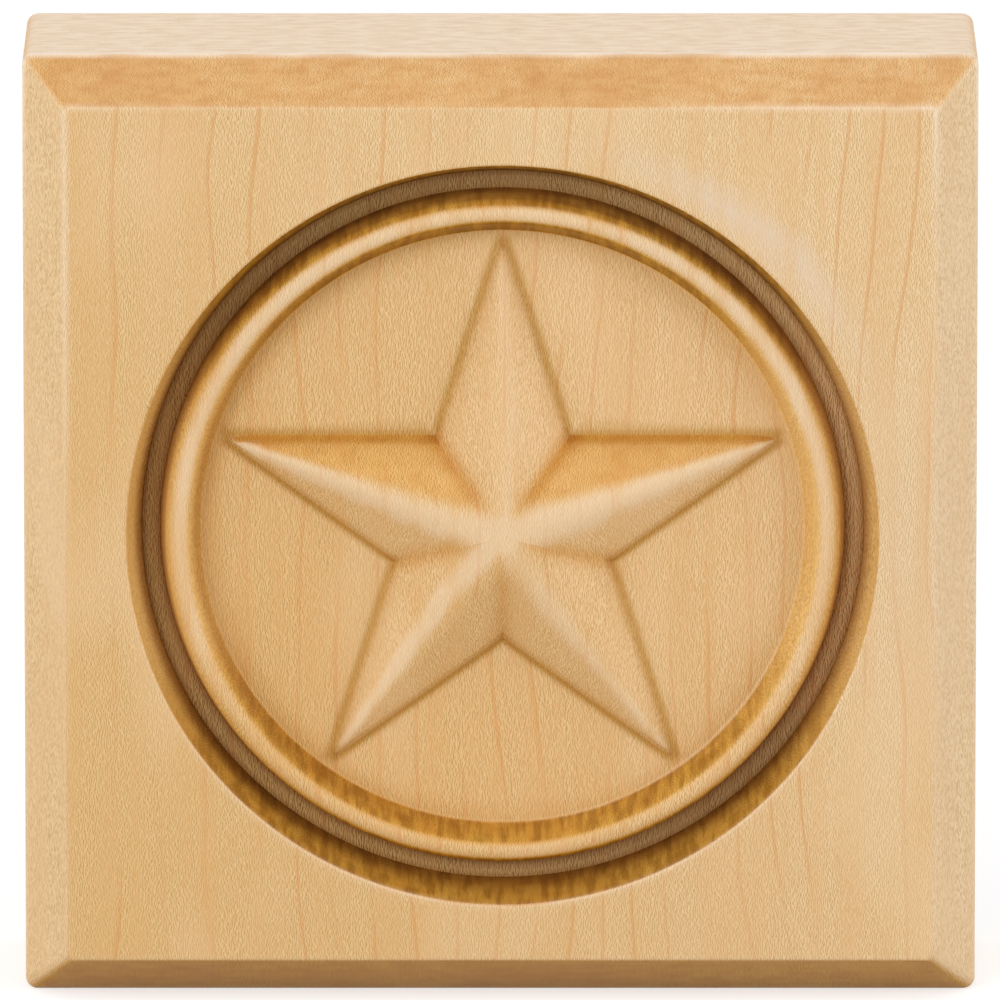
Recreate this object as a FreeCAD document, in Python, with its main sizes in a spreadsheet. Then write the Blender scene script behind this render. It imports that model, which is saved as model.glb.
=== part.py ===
import FreeCAD, Part
import math
import os

import Sketcher
from FreeCAD import Vector

# Square corner block of hard maple for door and window casings, cut from one piece of wood.
# It stands upright: X runs to the right, Z up the grain, and Y from the carved front to the back.
# The origin is the middle of the back face, which lies against the wall.

SIZES = {
    # The block
    "block_width": 88.9,
    "block_height": 88.9,
    "block_thickness": 28.6,
    "corner_radius": 1.1,
    "back_chamfer": 0.5,
    # Bevel round the front, measured across the face and back from it
    "bevel_width": 4.0,
    "bevel_depth": 6.0,
    "bevel_corner_radius": 0.8,
    "arris_ease": 0.4,
    # Recess: flat face left beside it, then a groove with an eased lip, a sloping wall and a flat floor
    "recess_margin": 5.4,
    "groove_depth": 6.0,
    "groove_wall_run": 1.4,
    "groove_floor_width": 1.55,
    "lip_chamfer": 0.25,
    # Sunk field, and the round bead with sloping sides that stands between it and the groove
    "field_depth": 4.9,
    "bead_radius": 1.5,
    "bead_height": 2.6,
    "bead_inner_run": 0.7,
    "bead_outer_run": 0.4,
    # Star on the field: a low steep foot, then flanks that meet in a rounded ridge
    "star_points": 5,
    "star_tip_gap": 1.4,
    "star_notch_radius": 10.4,
    "star_tip_width": 0.5,
    "star_foot_height": 0.45,
    "star_foot_flare": 0.3,
    "star_rise": 4.7,
    "star_ridge_radius": 3.0,
}

# Depths are counted back from the front face, and Y of a depth is that depth less the thickness
FACE = "-Sizes.block_thickness"
FIELD = f"Sizes.field_depth {FACE}"

# Both edges of the bevel are eased: as far along the bevel as along the side or the face beside it
EASE_SHARE = "(Sizes.arris_ease / hypot(Sizes.bevel_width; Sizes.bevel_depth))"
EASED_SIDE_DEPTH = "(Sizes.bevel_depth + Sizes.arris_ease)"

# The recess is as large as the shorter side of the face allows, and the star reaches almost to its bead
SHORT_SIDE = "min(Sizes.block_width; Sizes.block_height)"
LIP_RADIUS = f"({SHORT_SIDE} / 2 - Sizes.bevel_width - Sizes.recess_margin)"
WALL_FOOT = f"({LIP_RADIUS} - Sizes.groove_wall_run)"
BEAD_FOOT = f"({WALL_FOOT} - Sizes.groove_floor_width)"
BEAD_MIDDLE = f"({BEAD_FOOT} - Sizes.bead_outer_run - Sizes.bead_radius)"
BEAD_MIDDLE_DEPTH = "Sizes.field_depth - Sizes.bead_height + Sizes.bead_radius"
FIELD_RADIUS = f"({BEAD_MIDDLE} - Sizes.bead_radius - Sizes.bead_inner_run)"
TIP_RADIUS = f"({FIELD_RADIUS} - Sizes.star_tip_gap)"

# An arm widens from its blunt tip through the two notches beside it to the middle of the star
HALF_STEP = "180 / Sizes.star_points"
HALF_TIP = "Sizes.star_tip_width / 2"
NOTCH_OUT = f"Sizes.star_notch_radius * cos({HALF_STEP})"
NOTCH_ASIDE = f"Sizes.star_notch_radius * sin({HALF_STEP})"
ARM_SPREAD = f"({NOTCH_ASIDE} - {HALF_TIP}) / ({TIP_RADIUS} - {NOTCH_OUT})"
HALF_MIDDLE = f"({HALF_TIP} + {TIP_RADIUS} * {ARM_SPREAD})"
TIP_SHARE = f"({HALF_TIP} / {HALF_MIDDLE})"
RIDGE_RISE = "(Sizes.star_rise - Sizes.star_foot_height)"

NODE = "rosette_block"
BACK_PLANE = "XZ_Plane"
SECTION_PLANE = "XY_Plane"

# Places closer than this many millimetres, and volumes closer than this share, are taken as the same
NEAR = 1e-4
# The cut beside an arm's valleys reaches this many times the arm's half width
PAST_ARM = 1.5

# How a sketch counts the points of a line or an arc, and its own two axes, which meet at its origin
START, END, CENTRE = range(1, 4)
LEVEL, UPRIGHT = range(-1, -3, -1)
ORIGIN = (LEVEL, START)


def fill_sheet(doc):
    """Writes the driving dimensions into the document's sheet, one row each."""
    sheet = doc.addObject("Spreadsheet::Sheet", "Sizes")
    for row, (alias, size) in enumerate(SIZES.items(), start=1):
        sheet.set(f"A{row}", alias)
        sheet.set(f"B{row}", str(size))
        sheet.setAlias(f"B{row}", alias)
    doc.recompute()


def origin_feature(body, role):
    return next(item for item in body.Origin.OriginFeatures if item.Role == role)


def value(item, expression):
    """The number that an expression on the sheet gives now."""
    result = item.evalExpression(expression)
    return float(getattr(result, "Value", result))


class Drawing:
    """A sketch on one of the body's planes, whose dimensions are bound to the sheet."""

    def __init__(self, body, name, plane, offset="0"):
        self.sketch = body.newObject("Sketcher::SketchObject", name)
        self.sketch.AttachmentSupport = [(origin_feature(body, plane), "")]
        self.sketch.MapMode = "FlatFace"
        self.sketch.setExpression(".AttachmentOffset.Base.z", offset)

    def value(self, expression):
        return value(self.sketch, expression)

    def line(self, start, end):
        return self.sketch.addGeometry(Part.LineSegment(Vector(*start), Vector(*end)), False)

    def arc(self, centre, radius, first, last):
        circle = Part.Circle(Vector(*centre), Vector(0, 0, 1), radius)
        return self.sketch.addGeometry(Part.ArcOfCircle(circle, first, last), False)

    def tie(self, kind, *where):
        return self.sketch.addConstraint(Sketcher.Constraint(kind, *where))

    def bind(self, expression, kind, *where):
        index = self.tie(kind, *where, self.value(expression))
        self.sketch.setExpression(f"Constraints[{index}]", expression)


def rounded_rectangle(drawing, width, height, radius):
    """A rectangle about the sketch's origin, with four equal round corners."""
    half_wide = drawing.value(width) / 2
    half_high = drawing.value(height) / 2
    round_off = drawing.value(radius)
    corners = ((1, -1), (1, 1), (-1, 1), (-1, -1))
    arcs = []
    for quarter, (side, level) in enumerate(corners):
        centre = (side * (half_wide - round_off), level * (half_high - round_off))
        first = math.radians(90 * quarter - 90)
        arcs.append(drawing.arc(centre, round_off, first, first + math.radians(90)))
    sides = []
    for quarter, arc in enumerate(arcs):
        after = arcs[(quarter + 1) % len(arcs)]
        start = drawing.sketch.getPoint(arc, END)
        end = drawing.sketch.getPoint(after, START)
        side = drawing.line((start.x, start.y), (end.x, end.y))
        drawing.tie("Tangent", arc, END, side, START)
        drawing.tie("Tangent", side, END, after, START)
        drawing.tie("Horizontal" if quarter % 2 else "Vertical", side)
        sides.append(side)
    for arc in arcs[1:]:
        drawing.tie("Equal", arcs[0], arc)
    right, top, left, bottom = sides
    drawing.tie("Symmetric", arcs[0], CENTRE, arcs[2], CENTRE, *ORIGIN)
    drawing.bind(radius, "Radius", arcs[0])
    drawing.bind(width, "DistanceX", left, START, right, START)
    drawing.bind(height, "DistanceY", bottom, START, top, START)
    return drawing.sketch


def recess_profile(drawing):
    """Half the section that is turned out of the face: field, bead, groove and its wall."""
    read = drawing.value
    face = read(FACE)
    field = read(FIELD)
    floor = face + read("Sizes.groove_depth")
    bead = read("Sizes.bead_radius")
    lip = (read(LIP_RADIUS), face)
    wall_foot = (read(WALL_FOOT), floor)
    outer_foot = (read(BEAD_FOOT), floor)
    inner_foot = (read(FIELD_RADIUS), field)
    middle = (read(BEAD_MIDDLE), face + read(BEAD_MIDDLE_DEPTH))

    def touch_angle(foot, side):
        """Where, round the bead, a straight side from that foot touches it."""
        away = (foot[0] - middle[0], foot[1] - middle[1])
        return math.atan2(away[1], away[0]) + side * math.acos(bead / math.hypot(*away))

    def on_bead(angle):
        return (middle[0] + bead * math.cos(angle), middle[1] + bead * math.sin(angle))

    inner_touch = touch_angle(inner_foot, 1)
    outer_touch = touch_angle(outer_foot, -1) + math.radians(360)

    field_line = drawing.line((0, field), inner_foot)
    inner_flank = drawing.line(inner_foot, on_bead(inner_touch))
    bead_arc = drawing.arc(middle, bead, inner_touch, outer_touch)
    outer_flank = drawing.line(on_bead(outer_touch), outer_foot)
    floor_line = drawing.line(outer_foot, wall_foot)
    wall = drawing.line(wall_foot, lip)
    face_line = drawing.line(lip, (0, face))
    axis_line = drawing.line((0, face), (0, field))

    drawing.tie("Tangent", inner_flank, END, bead_arc, START)
    drawing.tie("Tangent", bead_arc, END, outer_flank, START)
    corners = (outer_flank, floor_line, wall, face_line, axis_line, field_line, inner_flank)
    for before, after in zip(corners, corners[1:]):
        drawing.tie("Coincident", before, END, after, START)
    for level in (field_line, floor_line, face_line):
        drawing.tie("Horizontal", level)
    drawing.tie("Vertical", axis_line)
    drawing.tie("PointOnObject", axis_line, START, UPRIGHT)

    drawing.bind("Sizes.block_thickness", "DistanceY", face_line, START, *ORIGIN)
    drawing.bind(LIP_RADIUS, "DistanceX", *ORIGIN, face_line, START)
    drawing.bind("Sizes.groove_wall_run", "DistanceX", wall, START, wall, END)
    drawing.bind("Sizes.groove_floor_width", "DistanceX", floor_line, START, floor_line, END)
    drawing.bind("Sizes.groove_depth", "DistanceY", face_line, START, floor_line, START)
    drawing.bind("Sizes.field_depth", "DistanceY", face_line, START, field_line, START)
    drawing.bind(FIELD_RADIUS, "DistanceX", *ORIGIN, field_line, END)
    drawing.bind("Sizes.bead_radius", "Radius", bead_arc)
    drawing.bind(BEAD_MIDDLE, "DistanceX", *ORIGIN, bead_arc, CENTRE)
    drawing.bind(BEAD_MIDDLE_DEPTH, "DistanceY", face_line, START, bead_arc, CENTRE)
    return drawing.sketch


def arm_section(drawing, half_width, ridge_rise, ridge_radius):
    """Section across an arm: steep foot, flank, round ridge, and the same down the other side."""
    read = drawing.value
    field = read(FIELD)
    half = read(half_width)
    foot = field - read("Sizes.star_foot_height")
    foot_out = half + read("Sizes.star_foot_flare")
    ridge = read(ridge_radius)
    centre_rise = read(ridge_rise) - ridge
    slope = math.atan2(centre_rise, half) + math.asin(ridge / math.hypot(centre_rise, half))
    middle = (0, foot - centre_rise)
    touch = (ridge * math.sin(slope), middle[1] - ridge * math.cos(slope))

    base = drawing.line((-foot_out, field), (foot_out, field))
    right_foot = drawing.line((foot_out, field), (half, foot))
    right_flank = drawing.line((half, foot), touch)
    quarter_turn = math.radians(90)
    crown = drawing.arc(middle, ridge, -quarter_turn - slope, -quarter_turn + slope)
    left_flank = drawing.line((-touch[0], touch[1]), (-half, foot))
    left_foot = drawing.line((-half, foot), (-foot_out, field))

    corners = ((base, right_foot), (right_foot, right_flank), (left_flank, left_foot), (left_foot, base))
    for before, after in corners:
        drawing.tie("Coincident", before, END, after, START)
    drawing.tie("Tangent", right_flank, END, crown, END)
    drawing.tie("Tangent", crown, START, left_flank, START)
    drawing.tie("Symmetric", base, START, base, END, UPRIGHT)
    drawing.tie("Symmetric", right_flank, START, left_flank, END, UPRIGHT)
    drawing.tie("PointOnObject", crown, CENTRE, UPRIGHT)

    drawing.bind("Sizes.block_thickness - Sizes.field_depth", "DistanceY", base, START, *ORIGIN)
    drawing.bind(f"2 * {half_width}", "DistanceX", left_flank, END, right_flank, START)
    drawing.bind("Sizes.star_foot_flare", "DistanceX", right_flank, START, base, END)
    drawing.bind("Sizes.star_foot_height", "DistanceY", right_flank, START, base, END)
    drawing.bind(ridge_radius, "Radius", crown)
    centre_height = f"Sizes.star_foot_height + {ridge_rise} - {ridge_radius}"
    drawing.bind(centre_height, "DistanceY", crown, CENTRE, base, END)
    return drawing.sketch


def edges_at(feature, depth_level, keep=lambda edge: True):
    """Names of the edges that lie in the plane at that Y and that keep() accepts."""
    names = []
    for number, edge in enumerate(feature.Shape.Edges, start=1):
        box = edge.BoundBox
        in_plane = abs(box.YMin - depth_level) < NEAR and abs(box.YMax - depth_level) < NEAR
        if in_plane and keep(edge):
            names.append(f"Edge{number}")
    return names


def ease_edges(doc, body, name, edges, size):
    """Takes the named edges of the body's last feature off with a small chamfer."""
    before = body.Tip
    chamfer = body.newObject("PartDesign::Chamfer", name)
    chamfer.Base = (before, edges)
    chamfer.setExpression("Size", size)
    doc.recompute()
    return chamfer


def shape_block(doc, body):
    """The block with its bevelled front, and every edge eased."""
    blank = body.newObject("PartDesign::Pad", "Blank")
    blank.Profile = rounded_rectangle(
        Drawing(body, "BackOutline", BACK_PLANE),
        "Sizes.block_width",
        "Sizes.block_height",
        "Sizes.corner_radius",
    )
    blank.setExpression("Length", f"Sizes.block_thickness - {EASED_SIDE_DEPTH}")

    outlines = []
    levels = (
        ("SideOutline", "0", EASED_SIDE_DEPTH, "Sizes.corner_radius"),
        (
            "ArrisOutline",
            f"Sizes.bevel_width * {EASE_SHARE}",
            f"Sizes.bevel_depth * (1 - {EASE_SHARE})",
            "Sizes.corner_radius",
        ),
        (
            "BevelOutline",
            f"Sizes.bevel_width * (1 - {EASE_SHARE})",
            f"Sizes.bevel_depth * {EASE_SHARE}",
            "Sizes.bevel_corner_radius",
        ),
        ("FaceOutline", "(Sizes.bevel_width + Sizes.arris_ease)", "0", "Sizes.bevel_corner_radius"),
    )
    for name, inset, depth, radius in levels:
        drawing = Drawing(body, name, BACK_PLANE, f"Sizes.block_thickness - {depth}")
        width = f"Sizes.block_width - 2 * {inset}"
        height = f"Sizes.block_height - 2 * {inset}"
        outlines.append(rounded_rectangle(drawing, width, height, radius))
    bevel = body.newObject("PartDesign::AdditiveLoft", "Bevel")
    bevel.Profile = outlines[0]
    bevel.Sections = outlines[1:]
    bevel.Ruled = True
    doc.recompute()
    ease_edges(doc, body, "BackEdges", edges_at(bevel, 0), "Sizes.back_chamfer")


def turn_recess(doc, body):
    """The round recess: groove, bead and field turned about the block's middle, with an eased lip."""
    solid_before = body.Shape.Volume
    profile = recess_profile(Drawing(body, "RecessProfile", SECTION_PLANE))
    recess = body.newObject("PartDesign::Groove", "Recess")
    recess.Profile = profile
    recess.ReferenceAxis = (profile, ["V_Axis"])
    recess.Angle = 360
    doc.recompute()
    if body.Shape.Volume >= solid_before:
        raise RuntimeError("the recess took no wood away")

    lip_radius = value(recess, LIP_RADIUS)

    def is_lip(edge):
        return isinstance(edge.Curve, Part.Circle) and abs(edge.Curve.Radius - lip_radius) < NEAR

    lip = edges_at(recess, value(recess, FACE), is_lip)
    ease_edges(doc, body, "Lip", lip, "Sizes.lip_chamfer")


def valley_notch(drawing):
    """All that lies beyond the two valleys beside an arm, as one outline with its notch at the middle."""
    reach = f"({HALF_MIDDLE} + Sizes.star_foot_flare) * {PAST_ARM}"
    across = drawing.value(reach)
    valley_end = across / math.tan(math.radians(drawing.value(HALF_STEP)))
    corners = ((0, 0), (across, valley_end), (across, -across), (-across, -across), (-across, valley_end))
    lines = [drawing.line(*pair) for pair in zip(corners, corners[1:] + corners[:1])]
    for before, after in zip(lines, lines[1:] + lines[:1]):
        drawing.tie("Coincident", before, END, after, START)
    right_valley, right_side, below, left_side, left_valley = lines
    drawing.tie("Coincident", right_valley, START, *ORIGIN)
    drawing.tie("Symmetric", right_valley, END, left_valley, START, UPRIGHT)
    drawing.tie("Horizontal", below)
    drawing.tie("Vertical", right_side)
    drawing.tie("Vertical", left_side)
    drawing.bind(reach, "DistanceX", *ORIGIN, right_valley, END)
    drawing.bind(reach, "DistanceY", below, START, *ORIGIN)
    drawing.bind(f"2 * {HALF_STEP}", "Angle", right_valley, START, left_valley, END)
    return drawing.sketch


def carve_star(doc):
    """The star: one arm, cut off along the valleys beside it and repeated about the middle."""
    star = doc.addObject("PartDesign::Body", "Star")
    middle = arm_section(
        Drawing(star, "ArmMiddle", SECTION_PLANE), HALF_MIDDLE, RIDGE_RISE, "Sizes.star_ridge_radius"
    )
    tip = arm_section(
        Drawing(star, "ArmTip", SECTION_PLANE, TIP_RADIUS),
        HALF_TIP,
        f"{RIDGE_RISE} * {TIP_SHARE}",
        f"Sizes.star_ridge_radius * {TIP_SHARE}",
    )
    arm = star.newObject("PartDesign::AdditiveLoft", "Arm")
    arm.Profile = middle
    arm.Sections = [tip]
    arm.Ruled = True
    doc.recompute()

    valleys = star.newObject("PartDesign::Pocket", "Valleys")
    valleys.Profile = valley_notch(Drawing(star, "ValleyNotch", BACK_PLANE))
    valleys.Type = "ThroughAll"
    valleys.SideType = "Symmetric"
    doc.recompute()
    if valleys.Shape.Volume >= arm.Shape.Volume:
        raise RuntimeError("the valleys took no wood away")

    arms = star.newObject("PartDesign::PolarPattern", "Arms")
    arms.TransformMode = "Whole shape"
    arms.Axis = (origin_feature(star, "Y_Axis"), [""])
    arms.Angle = 360
    arms.setExpression("Occurrences", "Sizes.star_points")
    star.Tip = arms
    doc.recompute()
    whole = valleys.Shape.Volume * arms.Occurrences
    if abs(arms.Shape.Volume - whole) > NEAR * whole:
        raise RuntimeError("the star lacks an arm")
    return star


def set_star(doc, body, star):
    """Joins the star to the field, because both are one piece of wood."""
    solid_before = body.Shape.Volume
    joined = body.newObject("PartDesign::Boolean", "StarOnField")
    joined.Type = "Fuse"
    joined.setObjects([star])
    body.Tip = joined
    doc.recompute()
    if body.Shape.Volume <= solid_before:
        raise RuntimeError("the star added no wood")


def check(doc, body):
    """Stops before anything is written if a feature failed or the block isn't one sound solid."""
    failed = [item.Name for item in doc.Objects if "Invalid" in item.State or "Error" in item.State]
    if failed:
        raise RuntimeError(f"features that failed: {failed}")
    shape = body.Shape
    if shape.isNull() or not shape.isValid() or len(shape.Solids) != 1:
        raise RuntimeError(f"{body.Label} isn't one sound solid")


def main():
    doc = FreeCAD.newDocument("CornerBlock")
    fill_sheet(doc)
    body = doc.addObject("PartDesign::Body", "RosetteBlock")
    body.Label = NODE
    shape_block(doc, body)
    turn_recess(doc, body)
    set_star(doc, body, carve_star(doc))
    check(doc, body)
    os.makedirs("parts", exist_ok=True)
    body.Shape.exportStep(f"parts/{body.Label}.step")
    box = body.Shape.BoundBox
    print(f"{body.Label}: {box.XLength:.2f} x {box.YLength:.2f} x {box.ZLength:.2f} mm")
    print(f"volume {body.Shape.Volume / 1000:.2f} cm3, {len(body.Shape.Faces)} faces")


main()
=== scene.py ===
import math

import bpy
import numpy as np
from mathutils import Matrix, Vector


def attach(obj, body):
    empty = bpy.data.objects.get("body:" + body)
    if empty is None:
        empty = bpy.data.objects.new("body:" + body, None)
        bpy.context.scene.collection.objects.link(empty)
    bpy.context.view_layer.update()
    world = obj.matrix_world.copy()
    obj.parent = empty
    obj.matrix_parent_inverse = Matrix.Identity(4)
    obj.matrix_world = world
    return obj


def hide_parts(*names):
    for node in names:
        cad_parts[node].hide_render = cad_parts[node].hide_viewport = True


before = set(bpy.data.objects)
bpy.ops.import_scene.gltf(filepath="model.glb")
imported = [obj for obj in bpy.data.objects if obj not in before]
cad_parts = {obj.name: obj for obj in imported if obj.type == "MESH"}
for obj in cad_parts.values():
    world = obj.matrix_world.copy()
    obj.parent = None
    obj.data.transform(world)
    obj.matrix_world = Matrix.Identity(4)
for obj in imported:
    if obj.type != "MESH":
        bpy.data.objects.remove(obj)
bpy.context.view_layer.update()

# Corner block for door and window casings, cut from one piece of hard maple.
# Lengths are in millimetres until a piece is made. X runs right, Z up the grain, and the front faces -Y.
# Depth is counted back from the front face, and a turn round the block starts at the star's top point.
MM = 0.001

# The block and the bevel round its front
BLOCK_SIDE = 88.9
HALF_SIDE = BLOCK_SIDE / 2
THICKNESS = 28.6
CORNER_RADIUS = 1.1
BACK_CHAMFER = 0.5
BACK_ARRIS_RADIUS = 0.3
BEVEL_WIDTH = 4.0
BEVEL_DEPTH = 6.0
BEVEL_CORNER_RADIUS = 0.8
FACE_ARRIS_RADIUS = 0.45
SIDE_ARRIS_RADIUS = 0.6

# The turned recess: sunk field, bead, groove and its sloping wall, cut a hair off the block's middle
RECESS_SHIFT = (0.22, -0.15)
FIELD_DEPTH = 4.9
FIELD_RADIUS = 28.2
FIELD_COVE = 0.45
BEAD_MIDDLE = (30.25, 3.1)
BEAD_RADIUS = 1.25
BEAD_FOOT = 31.95
GROOVE_DEPTH = 6.0
GROOVE_CORNER = 0.1
WALL_FOOT = 33.65
LIP = 35.05
LIP_ROUND = 0.35

# The star on the field. Two points of its foot's section, where it starts and where its edge is, are given
# as out from the star's outline and up from the foot's height.
STAR_POINTS = 5
ARM_TURN = 2 * math.pi / STAR_POINTS
STAR_TIP = 26.75
STAR_HALF_TIP = 0.15
STAR_NOTCH = 10.4
STAR_FOOT_HEIGHT = 0.45
STAR_FOOT_FLARE = 0.35
STAR_FOOT_START = (-0.9, 0.42)
STAR_FOOT_EDGE = (-0.2, 0.08)
STAR_FOOT_END = 0.6
STAR_FOOT_CROWN = 1.0
STAR_FOOT_COVE = 0.6
STAR_RISE = 4.7
STAR_RIDGE_RADIUS = 5.0
STAR_VALLEY_ROUND = 0.9
STAR_VALLEY_SHARE = 0.2
STAR_DOME_RADIUS = 1.5
STAR_DOME_DROP = 0.28
STAR_DOME_CURVE = 0.03
STAR_TIP_TAPER = 1.5
STAR_TIP_SHARE = 0.4
STAR_TIP_OUT = 0.5
THINNEST_ARM = 0.02

# How finely the surface is divided: turns, counts of rings, and the longest steps in millimetres
SECTOR = math.radians(0.72)
CORNER_SECTOR = math.radians(0.12)
CORNER_REACH = math.radians(1.2)
ROUND_SECTOR = math.radians(18)
ROUND_STEPS = 3
STAR_RINGS = 30
STAR_RING_CROWDING = 0.9
FIELD_RINGS = 9
FACE_RINGS = 8
BACK_RINGS = (0.66, 0.33, 0.1)
FOOT_STEP = 0.12
RECESS_STEP = 0.22
EDGE_STEP = 0.2
CARVED_RUN = 0.6
SIDE_RUN = 4.5
FIELD_MARGIN = 0.9
LIP_MARGIN = 0.8
FACE_MARGIN = 1.0
SIDE_MARGIN = 1.2
BACK_MARGIN = 6.0

# Work, wear and painted shade and highlight in the recess. A ramp's pair says where it starts and ends, the
# flank's place is a radius and a depth, and any other pair is a strength, as a share, and a reach in
# millimetres.
FRONT_SLACK = 0.1
FLOOR_SLACK = 0.2
TURNED_RAMP = (FIELD_RADIUS - 0.7, FIELD_RADIUS + 0.2)
# Painted shade on the groove's floor is lighter at the right and at the bottom
PALER_FLOOR_RIGHT = 0.8
PALER_FLOOR_BOTTOM = 0.35
# Painted shade in the creases at the feet of the bead and the wall
BEAD_CREASE_SHADE = (0.85, 0.45)
BEAD_CREASE_SHADE_LOSS_UP = 0.5
WALL_CREASE_SHADE = (0.8, 0.2)
# Painted shade on the bead's inner flank, deeper at the left
FLANK_SHADE = 0.1
FLANK_SHADE_LEFT = 0.6
FLANK_SHADE_PLACE = (FIELD_RADIUS + 0.5, FIELD_DEPTH - 0.9)
FLANK_SHADE_REACH = 1.1
FIELD_EDGE_REACH = 1.3
FIELD_EDGE_END = FIELD_RADIUS + 0.15
FIELD_EDGE_SHARE = 0.75
# Painted shade on the groove's sides towards its floor
BEAD_SIDE_SHADE = (1.0, 1.4)
WALL_SIDE_SHADE = (1.0, 2.4)
SIDE_SHADE_LOSS_UP = 0.3
# Painted highlight on the bead's crest
BEAD_SHEEN = (0.95, 1.0)
BEAD_SHEEN_INWARD = 0.35
BEAD_SHEEN_MIDDLE = 0.6
BEAD_SHEEN_LEVEL = 0.75
BEAD_SHEEN_GAIN_UP = 0.6
BEAD_SHEEN_LEAST = 0.15

# Painted shade, painted sheen and sanding on the star, with one value for each arm, or each valley,
# clockwise from the top
OUTLINE_WIDTH = 0.3
OUTLINE_WIDER = 0.35
OUTLINE_END = FIELD_RADIUS - 0.3
OUTLINE_BLUR = 0.4
OUTLINE_BLUR_WIDTH = 3.0
# Painted shade in the star's valleys
VALLEY_SHADE = (1.0, 0.7, 0.45, 0.6, 0.9)
VALLEY_WIDTH = 0.9
VALLEY_RAMP = (2.0, 4.5)
RIDGE_LEAN = (1.0, 0.8, 0.9, 1.2, -1.2)
RIDGE_LEAN_START = 8.0
RIDGE_BREADTH = (1.6, 2.2, 1.8, 1.1, 1.8)
RIDGE_BREADTH_LEAST = 0.5
# Pale bands along the ridges, partly sanded paler and partly painted sheen, and a painted highlight at the
# star's middle
RIDGE_SHEEN = (0.5, 0.9, 0.6, 0.9, 0.9)
RIDGE_SHEEN_EDGE = 0.6
RIDGE_SHEEN_RAMP = (0.3, 1.1)
MIDDLE_SHEEN_REACH = 2.5

# Painted highlights along the edges, a pale patch beside the recess, up and to the right, partly a worn
# scuff and partly painted sheen, and a haze of painted sheen at the right
ARRIS_HIGHLIGHT = 0.08
ARRIS_HIGHLIGHT_TOP = 0.4
ARRIS_HIGHLIGHT_TOP_RAMP = (12.0, 26.0)
ARRIS_HIGHLIGHT_LEFT = 0.5
ARRIS_HIGHLIGHT_LEFT_RAMP = (-5.0, 25.0)
ARRIS_HIGHLIGHT_RIGHT = 0.3
ARRIS_HIGHLIGHT_RIGHT_RAMP = (31.0, 38.0)
ARRIS_HIGHLIGHT_REACH = 0.28
LIP_HIGHLIGHT = (0.4, 0.25)
FIELD_FOOT_HIGHLIGHT = (0.18, 0.2)
FIELD_FOOT_DIAGONAL = 1.4 * FIELD_RADIUS
SIDE_ARRIS_HIGHLIGHT = 0.2
SIDE_ARRIS_HIGHLIGHT_UP = 0.6
SIDE_ARRIS_HIGHLIGHT_REACH = 0.4
# Painted sheen on the top and bottom faces
END_FACE_EDGE = 0.5
# A pale patch, partly a worn scuff and partly painted sheen
SCUFF_RADIUS = 37.4
SCUFF_WIDTH = 1.6
SCUFF_TURN = math.radians(40)
SCUFF_REACH = math.radians(19)
# A haze of painted sheen at the right
HAZE_SHARE = 0.25
HAZE_PLACE = 39.0
HAZE_WIDTH = 6.0
HAZE_HEIGHT = 16.0

# Growth rings of the wood, a shift from darker at the lower left to paler at the upper right, and the way
# its fibres run
PITH = (-60.0, -60.0, 0.0)
RING_WIDTH = 3.0
RING_BOW = 1.2
RING_WANDER = 5.0
# The block is made darker towards the lower left
PALE_SIDE = (0.85, 0.0, 0.5)
PALE_REACH = 45.0
FIBRE_LEAN = math.radians(8)
FIBRE = (0.0, -math.sin(FIBRE_LEAN), math.cos(FIBRE_LEAN))

# Noises in the wood: size across the face, into it and along the grain, a shift sideways, and detail.
# Real fibres are some hundredths of a millimetre thick, so the grain is drawn coarser, to show.
FINE_GRAIN = (0.095, 0.18, 0.4)
GRAIN_SHIFT = 0.085
NOISES = (
    ("wander", (14.0, 40.0, 30.0), 0.0, 1.0),
    ("ray_fleck", (0.22, 1.2, 0.8), 0.0, 1.0),
    ("streak", (2.0, 6.0, 30.0), 0.0, 1.0),
    ("cloud", (11.0, 11.0, 24.0), 0.0, 1.0),
    ("blotch", (0.7, 5.0, 3.0), 0.0, 2.0),
    ("band", (2.4, 1.0, 3.0), 0.0, 2.0),
    ("line_fade", (5.0, 5.0, 28.0), 0.0, 1.0),
    ("fibre", FINE_GRAIN, 0.0, 0.0),
    ("fibre_beside", FINE_GRAIN, GRAIN_SHIFT, 0.0),
)

# Marks that grow smoothly from 0 to 1 between two values of what they come from
SMOOTH_MARKS = (
    ("fleck", "ray_fleck", 0.46, 0.68),
    ("streak", "streak", 0.38, 0.68),
    ("cloud", "cloud", 0.45, 0.7),
    ("blotch", "blotch", 0.38, 0.64),
    ("band", "band", 0.3, 0.75),
    ("line_fade", "line_fade", 0.34, 0.58),
    ("grain", "relief", -0.1, 0.22),
    ("tone", "to_pale_side", PALE_REACH, -PALE_REACH),
    ("end_grain", "across_cut", 0.3, 0.75),
    # Faces that look down get painted shade
    ("underside_shade", "cut", -0.45, -0.72),
    # Turned faces that look away from the front get painted shade
    ("steep", "facing", 0.95, 0.72),
    ("level", "facing", 0.85, 0.96),
    ("line_start", "ring", 0.84, 0.975),
    ("line_end", "ring", 1.0, 0.975),
)

# Marks that are carried by the mesh
WORKED = (
    "carved", "turned", "groove_floor", "groove_floor_shade", "end_face_sheen", "crease_shade", "star_foot_shade", "groove_side_shade",
    "arris_highlight", "rub_and_sheen", "valley_shade", "field_foot_shade", "scuff_and_sheen", "lit_side_bevel",
)
RAGGED_SHARE = 0.5
RAGGED_RAMP = (0.4, 0.9)
PATCHINESS_LEAST = 0.65
ARRIS_PATCH_LEAST = 0.3
SHEEN_RAMP = (0.18, 0.78)

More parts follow.
